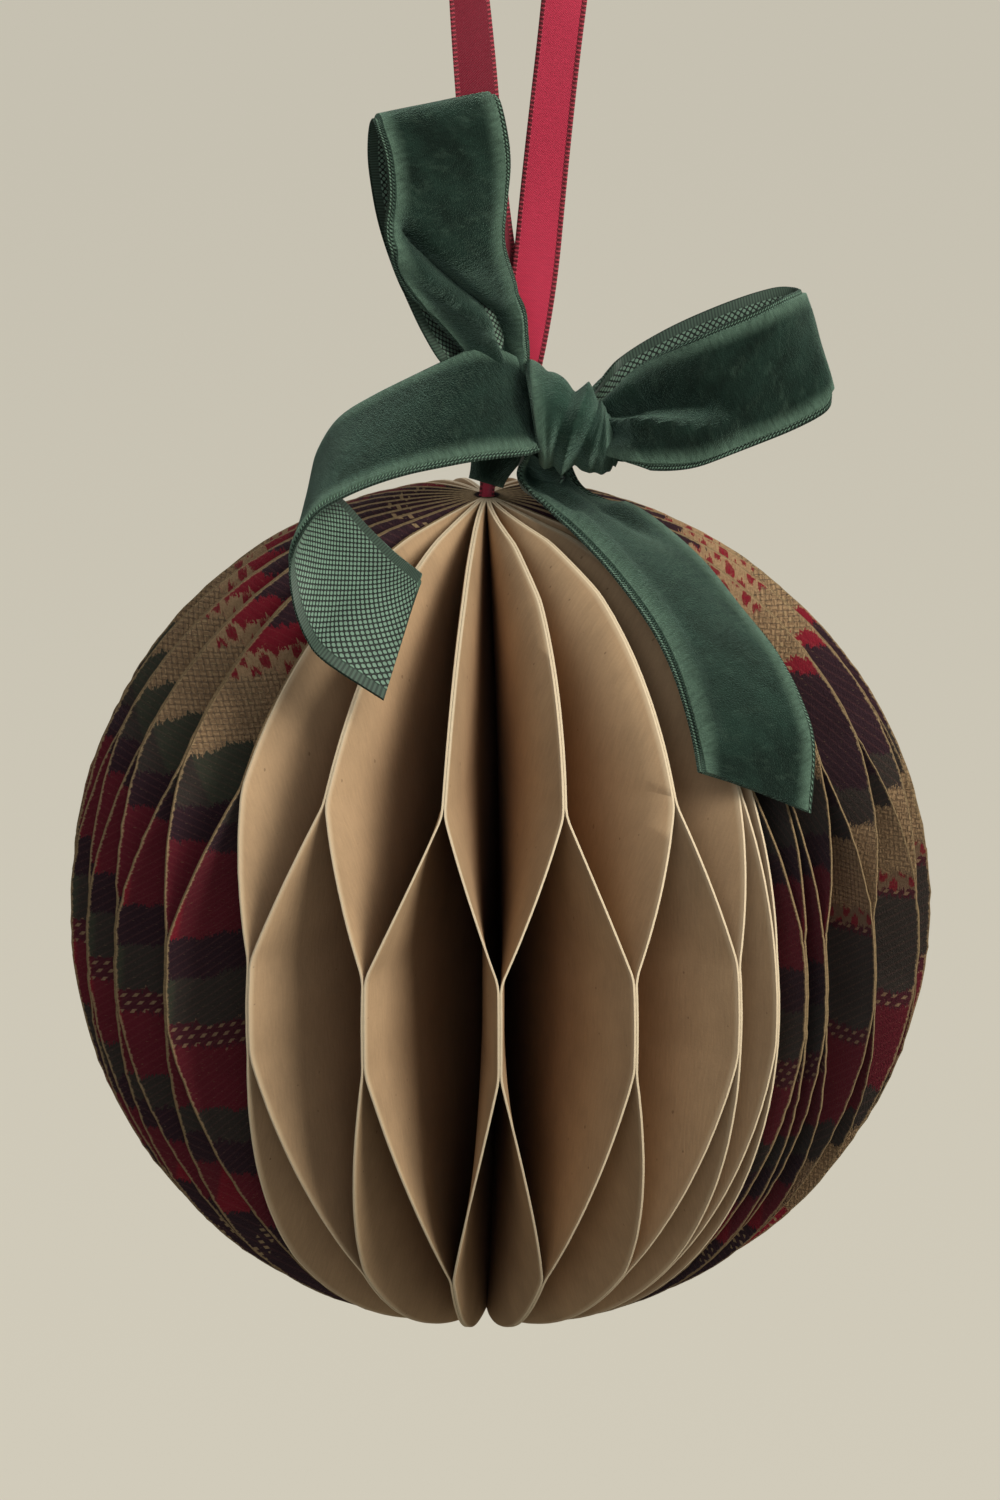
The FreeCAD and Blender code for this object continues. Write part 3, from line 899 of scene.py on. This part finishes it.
left_loop = (
    ((-1.1, 14.3, 10.7), (3.6, 15.1, 10.7)),
    ((-4.6, 19.5, 15.3), (2.9, 20.2, 9.5)),
    ((-8.3, 23.0, 19.2), (3.0, 24.6, 12.0)),
    ((-12.1, 26.3, 23.6), (2.3, 28.2, 14.8)),
    ((-14.8, 30.8, 26.6), (1.2, 31.6, 18.4)),
    ((-15.4, 34.8, 27.8), (0.7, 34.7, 19.8)),
    ((-14.9, 40.0, 29.2), (1.1, 39.5, 20.8)),
    ((-15.4, 44.9, 29.4), (1.4, 44.2, 22.8)),
    ((-16.5, 48.6, 29.0), (0.9, 48.8, 24.6)),
    ((-17.0, 50.1, 28.3), (-0.1, 53.1, 22.9)),
    ((-17.6, 49.9, 26.4), (-1.2, 53.8, 20.0)),
    ((-17.9, 47.4, 25.1), (-1.5, 49.7, 18.1)),
    ((-17.8, 43.5, 23.3), (-1.1, 44.1, 16.5)),
    ((-17.0, 38.1, 22.7), (-0.8, 38.0, 14.7)),
    ((-15.8, 33.6, 21.8), (0.0, 33.1, 13.2)),
    ((-13.6, 27.9, 18.0), (1.0, 27.7, 11.4)),
    ((-10.5, 21.7, 13.4), (1.9, 22.3, 9.6)),
    ((-6.8, 17.1, 9.8), (3.0, 17.4, 8.2)),
    ((-1.4, 13.4, 8.9), (4.8, 13.8, 8.9)),
)
right_loop = (
    ((12.1, 12.4, 10.1), (13.1, 5.1, 13.1)),
    ((14.5, 13.2, 11.4), (16.6, 4.0, 17.0)),
    ((19.2, 17.6, 14.6), (21.1, 2.7, 21.4)),
    ((27.5, 21.3, 20.9), (26.9, 3.2, 20.9)),
    ((34.2, 24.1, 21.4), (34.0, 5.9, 21.4)),
    ((38.5, 26.3, 19.2), (40.0, 8.4, 20.8)),
    ((40.7, 27.4, 14.6), (44.2, 10.8, 20.6)),
    ((41.2, 27.9, 10.2), (45.3, 12.9, 19.4)),
    ((40.5, 28.1, 7.3), (44.6, 13.3, 16.7)),
    ((37.4, 28.0, 5.9), (41.0, 12.0, 13.3)),
    ((31.0, 26.0, 5.6), (33.5, 8.8, 10.4)),
    ((23.0, 22.5, 4.5), (25.7, 5.6, 9.9)),
    ((16.1, 18.2, 3.9), (18.9, 4.2, 10.9)),
    ((12.1, 13.9, 7.5), (13.4, 5.2, 9.3)),
)

# Knot sections: across, up, half height, toward, half depth, lean of the top
knot_sections = (
    (4.6, 10.4, 6.8, 11.7, 7.9, -1.0),
    (5.3, 10.5, 7.5, 11.7, 8.1, -1.0),
    (7.2, 9.9, 7.1, 12.0, 7.8, -0.6),
    (9.6, 9.2, 6.4, 12.2, 7.6, -0.3),
    (12.2, 8.4, 5.9, 12.2, 7.4, -0.3),
    (14.3, 8.0, 5.3, 12.1, 6.4, -0.6),
    (15.3, 7.7, 4.0, 12.0, 4.6, -0.7),
    (15.7, 7.6, 2.4, 12.0, 2.6, -0.4),
)
knot_corners = 96
knot_length = 11.5

# The velvet's edges, as a width and as a share of the full thickness
selvedge_width = 0.72
selvedge_share = 0.45

# How finely the bow is meshed: steps from rung to rung, and columns across
bow_steps = 8
bow_columns = 31

# Waves across the velvet where it is gathered, its ripples, and the painted light that makes the knot's
# pile paler
gather_folds = 1.5
ripple_height = 0.25
knot_painted_light = 0.28

# Ribbon in the knot, round the strands and hidden inside
knotted_length = 95.0


class Crease:
    """A line along a stretch, from one rung and share of the width to another, and its depth."""

    def __init__(self, first, last, depth, width, step=False):
        self.first = first
        self.last = last
        self.depth = depth
        self.width = width
        self.step = step

    def height(self, rung, share):
        length = self.last[0] - self.first[0]
        place = (rung - self.first[0]) / length
        away = (share - blend(self.first[1], self.last[1], place)) / self.width
        inside = min(max(min(place, 1.0 - place) * abs(length) / 0.8 + 0.5, 0.0), 1.0)
        fade = inside * inside * (3.0 - 2.0 * inside)
        if self.step:
            return self.depth * fade / (1.0 + math.exp(-4.0 * away)) * math.exp(-max(away, 0.0) * 0.35)
        return -self.depth * fade * math.exp(-away * away)


class Stretch:
    """One stretch of the velvet ribbon and how its surface moves between the rungs."""

    def __init__(self, name, rungs, crowns, seed, turned=False, creases=()):
        self.name = name
        self.rungs = rungs
        self.crowns = crowns
        self.turned = turned
        self.seed = seed
        self.creases = creases

    def flat_grid(self, width):
        edges = [[seen(*first), seen(*second)] for first, second in self.rungs]
        if self.turned:
            edges = [edge[::-1] for edge in edges]
        fullness = width / max((second - first).length for first, second in edges)
        ends = ([], [])
        for first, second in edges:
            middle = (first + second) * 0.5
            half = (second - first) * (0.5 * fullness)
            ends[0].append(middle - half)
            ends[1].append(middle + half)
        near, far = (smooth_list(end, bow_steps) for end in ends)
        shares = ribbon_shares(bow_columns, width)
        return [[first.lerp(second, share) for share in shares] for first, second in zip(near, far)]

    def grid(self, width):
        """The points of the ribbon's middle surface, bulged, gathered where it is narrow, and creased."""
        flat_grid = self.flat_grid(width)
        normals = grid_normals(flat_grid)
        crowns = [Vector((crown, 0.0, 0.0)) for crown in self.crowns]
        shares = ribbon_shares(bow_columns, width)
        shaped = []
        for row, rung in enumerate(flat_grid):
            span = (rung[-1] - rung[0]).length
            slack = max(0.88 * width / max(span, 1.0) - 1.0, 0.0)
            gather = min(span / (math.pi * gather_folds) * math.sqrt(slack), 1.6)
            place = row / (len(flat_grid) - 1) * (len(crowns) - 1)
            before = min(int(place), len(crowns) - 2)
            crown = curve_point(crowns, before, place - before).x
            line = []
            for column, (point, share) in enumerate(zip(rung, shares)):
                rise = crown * (1.0 - (2.0 * share - 1.0) ** 2)
                rise += gather * math.cos(2 * math.pi * gather_folds * share + self.seed)
                rise += ripple_height * noise.noise(Vector((share * 2.2, row * 0.07, self.seed)))
                rise += sum(crease.height(row / bow_steps, share) for crease in self.creases)
                line.append(point + normals[row][column] * rise)
            shaped.append(line)
        return shaped


bow_stretches = (
    Stretch("velvet_left_tail", left_tail, (0.3, 0.8, 0.6, 0.2, -0.6, -0.8, -0.3), turned=True, seed=0.4),
    Stretch(
        "velvet_right_tail",
        right_tail,
        (0.4, 0.6, 0.5, 0.5, 0.4),
        turned=True,
        seed=1.7,
        creases=(Crease((1.5, 0.86), (8.0, 0.88), -0.9, 0.07), Crease((0.8, 0.6), (3.5, 0.3), 1.3, 0.12)),
    ),
    Stretch(
        "velvet_left_loop",
        left_loop,
        (0.3, 0.2, 0.7, 0.3, 0.1, 0.3, 0.8, 0.8, 0.3),
        seed=2.9,
        creases=(
            Crease((5.2, 0.16), (1.1, 0.82), 3.2, 0.09),
            Crease((4.6, 0.02), (1.6, 0.50), -1.3, 0.10),
            Crease((1.0, 0.55), (2.6, 0.95), 0.8, 0.10),
            Crease((7.1, 0.25), (7.5, 0.95), 0.25, 0.05),
        ),
    ),
    Stretch(
        "velvet_right_loop",
        right_loop,
        (0.2, 0.5, 0.8, 0.3, 0.1, 0.3, 0.8, 0.6),
        seed=4.1,
        creases=(
            Crease((0.2, 0.32), (3.6, 0.76), 3.2, 0.07, step=True),
            Crease((0.2, 0.18), (3.4, 0.60), 2.4, 0.12),
        ),
    ),
)

# Creases round the knot: place across it, slant, depth and width
knot_creases = (
    (0.22, 0.06, -0.45, 0.035),
    (0.36, 0.12, -1.5, 0.050),
    (0.46, 0.13, 1.0, 0.040),
    (0.57, 0.12, -1.4, 0.045),
    (0.68, 0.10, -0.5, 0.030),
    (0.82, 0.05, -0.7, 0.040),
)


def knot_rings(width):
    """The knot: a band wound round, from its left edge to its right, creased from its top right."""
    sections = smooth_list([Vector(section[:3]) for section in knot_sections], bow_steps)
    depths = smooth_list([Vector(section[3:]) for section in knot_sections], bow_steps)
    last = len(sections) - 1
    lip = 0.45
    rib_height = 0.18
    rib_turns = 75.0
    rows = [(row, 0.0, 0.0) for row in range(last + 1)]
    lip_rows = ((0.4 * lip, 0.25 * lip), (0.55 * lip, lip), (0.05, 2 * lip))
    first_lip = [(last // 4, 0.0, 2 * lip)] + [(0, -shift, inset) for shift, inset in reversed(lip_rows)]
    last_lip = [(last, shift, inset) for shift, inset in lip_rows] + [(3 * last // 4, 0.0, 2 * lip)]
    rings, flats, rims = [], [], []
    for row, shift, inset in first_lip + rows + last_lip:
        section, depth = sections[row], depths[row]
        share = row / last
        ring, flat = [], []
        for corner in range(knot_corners):
            turn = 2 * math.pi * (corner / knot_corners + 0.5)
            swell = 0.35 * noise.noise(Vector((share * 4.0, math.sin(turn) * 1.2, math.cos(turn) * 1.2)))
            for place, slant, deep, broad in knot_creases:
                away = abs(share - place - slant * math.sin(turn)) / broad
                swell += deep * (0.8 + 0.2 * math.sin(turn)) * math.exp(-(away**1.5))
            ribs = math.sin(share * rib_turns + 2.0 * turn) * max(-math.sin(turn) - 0.35, 0.0)
            swell += rib_height * ribs * min(max((share - 0.4) * 5.0, 0.0), 1.0)
            swell -= inset
            rise = (section.z + swell) * math.sin(turn)
            reach = (depth.y + swell) * math.cos(turn)
            across = section.x + shift + depth.z * math.sin(turn)
            ring.append(hung(seen(across, section.y + rise, depth.x + reach)))
            flat.append((share * knot_length - width / 2, turn * depth.y))
        rings.append(ring)
        flats.append(flat)
        rims.append([(width / 2 - abs(x), y) for x, y in flat])
    return rings, flats, rims


def pinch(height):
    """How far the ribbons have spread again above the small hole at the ball's pole, from 0 to 1."""
    share = min(max((height - pinch_top) / pinch_length, 0.0), 1.0)
    return share * share * (3.0 - 2.0 * share)


def wrap_rings(thickness, satin_width):
    """The velvet that closes round both strands behind the knot."""
    half_width = satin_width / 2 + ribbon_clearance + thickness / 2
    half_depth = strand_gap / 2 + satin_thickness + ribbon_clearance + thickness / 2
    rings, flats, rims = [], [], []
    for level in range(wrap_levels + 1):
        height = wrap_foot[1] + wrap_height * level / wrap_levels
        spread = pinch(height)
        middle = wrap_foot[0] + wrap_lean * (height - wrap_foot[1]) + 0.9 * spread
        ring, flat = [], []
        for corner in range(wrap_corners):
            turn = 2 * math.pi * corner / wrap_corners
            crease = 0.16 * noise.noise(Vector((math.cos(turn) * 2.5, math.sin(turn) * 2.5, height * 0.22)))
            x = (half_width + thickness / 2 + crease) * math.cos(turn) * blend(0.55, 0.95, spread)
            y = (half_depth + thickness / 2 + crease) * math.sin(turn)
            skew = (1.0 - level / wrap_levels) * (0.7 - 0.9 * math.cos(turn - 0.6))
            ring.append(hung(Vector((middle + x, y, height + skew))))
            flat.append((height - wrap_foot[1] - wrap_height / 2, turn * half_width))
        rings.append(ring)
        flats.append(flat)
        rims.append(flat)
    return rings, flats, rims


def hanger_route():
    """The hanger's control points and the turn of its face at each, core to core."""
    behind = (satin_thickness + strand_gap) / 2
    rise = [(Vector((x, behind, z)), turn) for x, z, turn in left_strand]
    fall = [(Vector((x, -behind, z)), turn) for x, z, turn in reversed(right_strand)]
    arch = []
    outer = loop_radius / math.cos(math.pi / arch_steps / 2)
    for step in range(arch_steps):
        turn = math.pi * (step + 0.5) / arch_steps
        x = hanging_offset - outer * math.cos(turn)
        arch.append((Vector((x, 0.0, hanging_height - loop_radius + outer * math.sin(turn))), 90.0))
    return rise + arch + fall


def spline_points(name, controls):
    """Points along the smooth curve that the control points pull."""
    curve = bpy.data.curves.new(name, "CURVE")
    curve.dimensions = "3D"
    curve.resolution_u = hanger_steps
    spline = curve.splines.new("NURBS")
    spline.points.add(len(controls) - 1)
    for point, control in zip(spline.points, controls):
        point.co = (*control, 1.0)
    spline.order_u = 3
    spline.use_endpoint_u = True
    holder = bpy.data.objects.new(name, curve)
    bpy.context.scene.collection.objects.link(holder)
    mesh = bpy.data.meshes.new_from_object(holder)
    points = [vertex.co.copy() for vertex in mesh.vertices]
    bpy.data.objects.remove(holder)
    bpy.data.curves.remove(curve)
    bpy.data.meshes.remove(mesh)
    return points


# Operators


class PaperBallOperator:
    """What every step of the making shares."""

    bl_options = {"REGISTER", "UNDO"}


class PAPERBALL_OT_stage(PaperBallOperator, bpy.types.Operator):
    """Sets the camera, the floor, the lamps and the world"""

    bl_idname = "paperball.stage"
    bl_label = "Stage"

    def execute(self, context):
        scene = context.scene
        colours = scene.ball_colours
        scene.view_settings.view_transform = "Standard"
        self.camera(scene)
        self.floor(scene, tinted(colours.ground))
        self.world(scene, tinted(colours.ground))
        self.lamp(scene, "key", (1.15, -1.0, 0.95), 0.9, 29.0, (1.0, 0.95, 0.87))
        self.lamp(scene, "fill", (-0.3, -2.1, 0.55), 1.4, 6.0, (0.92, 0.95, 1.0))
        self.lamp(scene, "back", (-0.5, 1.6, 1.1), 1.2, 10.0, (1.0, 0.96, 0.9))
        return {"FINISHED"}

    def camera(self, scene):
        distance = 1.5
        lens = 258.0
        aim_above = 0.0212
        tilt = math.radians(view_tilt)
        middle = Vector((-hanging_offset, 0.0, -hanging_height - scene.ball_sizes.half_height)) * millimetre
        aim = middle + Vector((0.0, math.sin(tilt), math.cos(tilt))) * aim_above
        away = Vector((0.0, -math.cos(tilt), math.sin(tilt)))
        data = bpy.data.cameras.new("camera")
        data.lens = lens
        data.sensor_width = 36.0
        data.clip_end = 30.0
        camera = bpy.data.objects.new("camera", data)
        camera.location = aim + away * distance
        camera.rotation_euler = (math.radians(90.0 - view_tilt), 0.0, 0.0)
        scene.collection.objects.link(camera)
        scene.camera = camera

    def floor(self, scene, colour):
        size = 9.0
        drop = -0.80
        floor_shade = 0.4
        floor_glow = 0.82
        corners = [(x, y, drop) for x, y in ((-size, -size), (size, -size), (size, size), (-size, size))]
        mesh = bpy.data.meshes.new("floor")
        mesh.from_pydata(corners, [], [(0, 1, 2, 3)])
        finish = Finish("floor_paint")
        camera_ray = finish.node("ShaderNodeLightPath")
        shown = finish.mix(camera_ray, (0.0, 0.0, 0.0), colour)
        finish.paint(tinted(colour, floor_shade), 0.95, 0.1)
        finish.set(Emission_Color=shown, Emission_Strength=floor_glow)
        mesh.materials.append(finish.material)
        floor = bpy.data.objects.new("floor", mesh)
        scene.collection.objects.link(floor)
        floor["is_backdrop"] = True

    def world(self, scene, colour):
        world = bpy.data.worlds.new("studio")
        world.use_nodes = True
        tree = world.node_tree
        tree.nodes.clear()
        output = tree.nodes.new("ShaderNodeOutputWorld")
        mixer = tree.nodes.new("ShaderNodeMixShader")
        rays = tree.nodes.new("ShaderNodeLightPath")
        fill = tree.nodes.new("ShaderNodeBackground")
        fill.inputs["Color"].default_value = (1.0, 0.98, 0.95, 1.0)
        fill.inputs["Strength"].default_value = 0.25
        backdrop = tree.nodes.new("ShaderNodeBackground")
        backdrop.inputs["Color"].default_value = (*colour, 1.0)
        tree.links.new(rays.outputs["Is Camera Ray"], mixer.inputs[0])
        tree.links.new(fill.outputs[0], mixer.inputs[1])
        tree.links.new(backdrop.outputs[0], mixer.inputs[2])
        tree.links.new(mixer.outputs[0], output.inputs["Surface"])
        scene.world = world

    def lamp(self, scene, name, place, size, energy, colour):
        data = bpy.data.lights.new(name, "AREA")
        data.size = size
        data.energy = energy
        data.color = colour
        lamp = bpy.data.objects.new(name, data)
        drop = 40.0
        middle = Vector((-hanging_offset, 0.0, -hanging_height - drop)) * millimetre
        lamp.location = middle + Vector(place)
        lamp.rotation_euler = (-Vector(place)).to_track_quat("-Z", "Y").to_euler()
        scene.collection.objects.link(lamp)


class PAPERBALL_OT_hanger(PaperBallOperator, bpy.types.Operator):
    """Makes the satin ribbon that the ball hangs from"""

    bl_idname = "paperball.hanger"
    bl_label = "Satin Hanger"

    def execute(self, context):
        sizes = context.scene.ribbon_sizes
        route = hanger_route()
        path = spline_points("hanger_route", [hung(point) * millimetre for point, turn in route])
        turns = spline_points("hanger_turns", [(turn, 0.0, 0.0) for point, turn in route])
        grid = []
        for index, middle in enumerate(path):
            run = path[min(index + 1, len(path) - 1)] - path[max(index - 1, 0)]
            run.normalize()
            face_turn = math.radians(turns[index].x)
            across = Vector((math.cos(face_turn), math.sin(face_turn), 0.0))
            across = (across - run * across.dot(run)).normalized()
            lift = across.cross(run)
            centre = middle / millimetre + Vector((hanging_offset, 0.0, hanging_height))
            spread = blend(pinched_width, 1.0, pinch(centre.z))
            pleat = pleat_depth * (1.0 - spread) * math.copysign(1.0, index - len(path) / 2)
            rung = []
            for share in ribbon_shares(satin_columns, sizes.satin_width):
                place = (2.0 * share - 1.0) * sizes.satin_width / 2
                fold = pleat * math.sin(3.0 * math.pi * share)
                rung.append(centre + across * (place * spread) + lift * fold)
            grid.append(rung)
        # Two copies of the satin: one with painted light, one with painted shade
        lit_satin = red_satin(context.scene.ball_colours, sizes.satin_width, "red_satin", painted_lit_side)
        shaded_satin = red_satin(context.scene.ball_colours, sizes.satin_width, "red_satin_back", painted_shaded_side)
        piece, _ = ribbon_piece("satin_ribbon", grid, satin_thickness, sizes.satin_width, [shaded_satin, lit_satin])
        length = sum((after - before).length for before, after in zip(path, path[1:]))
        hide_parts("satin_hanger")
        tuple(path[0])
        [tuple(point) for point in path]
        return {"FINISHED"}


class PAPERBALL_OT_sheets(PaperBallOperator, bpy.types.Operator):
    """Makes the thirty folded sheets, kraft in front and behind, tartan at both sides"""

    bl_idname = "paperball.sheets"
    bl_label = "Folded Sheets"

    def execute(self, context):
        sizes = context.scene.ball_sizes
        colours = context.scene.ball_colours
        kraft = [kraft_card(colours), cut_edge(colours)]
        rim = felted_edge(colours)
        left = [tartan_card(colours, "tartan_left", left_bands), rim]
        right = [tartan_card(colours, "tartan_right", right_bands), rim]
        for sheet in range(first_pulled, first_pulled + sheet_count):
            plain = sheet in front_plain or sheet in back_plain
            at_left = sheet < front_plain[0] or sheet > back_plain[-1] or sheet in beside_plain
            side = left if at_left else right
            build_sheet(sheet, sheet - first_pulled + 1, plain, sizes, kraft if plain else side)
        return {"FINISHED"}


class PAPERBALL_OT_bow(PaperBallOperator, bpy.types.Operator):
    """Makes the velvet bow: two loops, two tails, the knot and the wrap round the strands"""

    bl_idname = "paperball.bow"
    bl_label = "Velvet Bow"

    def execute(self, context):
        sizes = context.scene.ribbon_sizes
        colours = context.scene.ball_colours
        pile = velvet_pile(colours, sizes.velvet_width, "velvet_pile", 0.0)
        # A copy of the pile with painted light, which makes the knot paler
        lit_knot_pile = velvet_pile(colours, sizes.velvet_width, "velvet_pile_stretched", knot_painted_light)
        woven = velvet_back(colours, sizes.velvet_width)
        pieces = []
        total = 0.0
        for stretch in bow_stretches:
            grid = stretch.grid(sizes.velvet_width)
            finishes = [pile, woven]
            piece, run = ribbon_piece(
                stretch.name, grid, sizes.velvet_thickness, sizes.velvet_width, finishes, selvedge_share
            )
            pieces.append(piece)
            total += run
        for name, rings in (
            ("velvet_knot", knot_rings(sizes.velvet_width)),
            ("velvet_wrap", wrap_rings(sizes.velvet_thickness, sizes.satin_width)),
        ):
            # The knot takes the copy with painted light
            finish = lit_knot_pile if name == "velvet_knot" else pile
            pieces.append(closed_mesh(name, *rings, lambda here: 0, [finish]))
        bow = pieces[0]
        with context.temp_override(active_object=bow, selected_editable_objects=pieces):
            bpy.ops.object.join()
        bow.name = "velvet_bow_ribbon"
        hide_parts("velvet_bow")
        (total + knotted_length) * millimetre
        return {"FINISHED"}


class PAPERBALL_PT_panel(bpy.types.Panel):
    """Sizes, colours and steps of the paper ball"""

    bl_label = "Paper Ball"
    bl_idname = "PAPERBALL_PT_panel"
    bl_space_type = "VIEW_3D"
    bl_region_type = "UI"
    bl_category = "Paper Ball"

    def draw(self, context):
        scene = context.scene
        for group in (scene.ball_sizes, scene.ribbon_sizes, scene.ball_colours):
            box = self.layout.box()
            for name in group.__annotations__:
                box.prop(group, name)
        for step in steps:
            self.layout.operator(step.bl_idname)


steps = (PAPERBALL_OT_stage, PAPERBALL_OT_hanger, PAPERBALL_OT_sheets, PAPERBALL_OT_bow)
groups = {"ball_sizes": BallSizes, "ribbon_sizes": RibbonSizes, "ball_colours": Colours}


def register():
    for group in groups.values():
        bpy.utils.register_class(group)
    for step in steps:
        bpy.utils.register_class(step)
    bpy.utils.register_class(PAPERBALL_PT_panel)
    for name, group in groups.items():
        setattr(bpy.types.Scene, name, bpy.props.PointerProperty(type=group))


def unregister():
    for name in groups:
        delattr(bpy.types.Scene, name)
    bpy.utils.unregister_class(PAPERBALL_PT_panel)
    for step in reversed(steps):
        bpy.utils.unregister_class(step)
    for group in groups.values():
        bpy.utils.unregister_class(group)


def main():
    register()
    bpy.ops.paperball.stage()
    bpy.ops.paperball.hanger()
    bpy.ops.paperball.sheets()
    bpy.ops.paperball.bow()
    boxes = {"cad": cad_box, "visual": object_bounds()}
    boxes = {name: [list(corner) for corner in box] for name, box in boxes.items()}


if __name__ == "__main__":
    main()
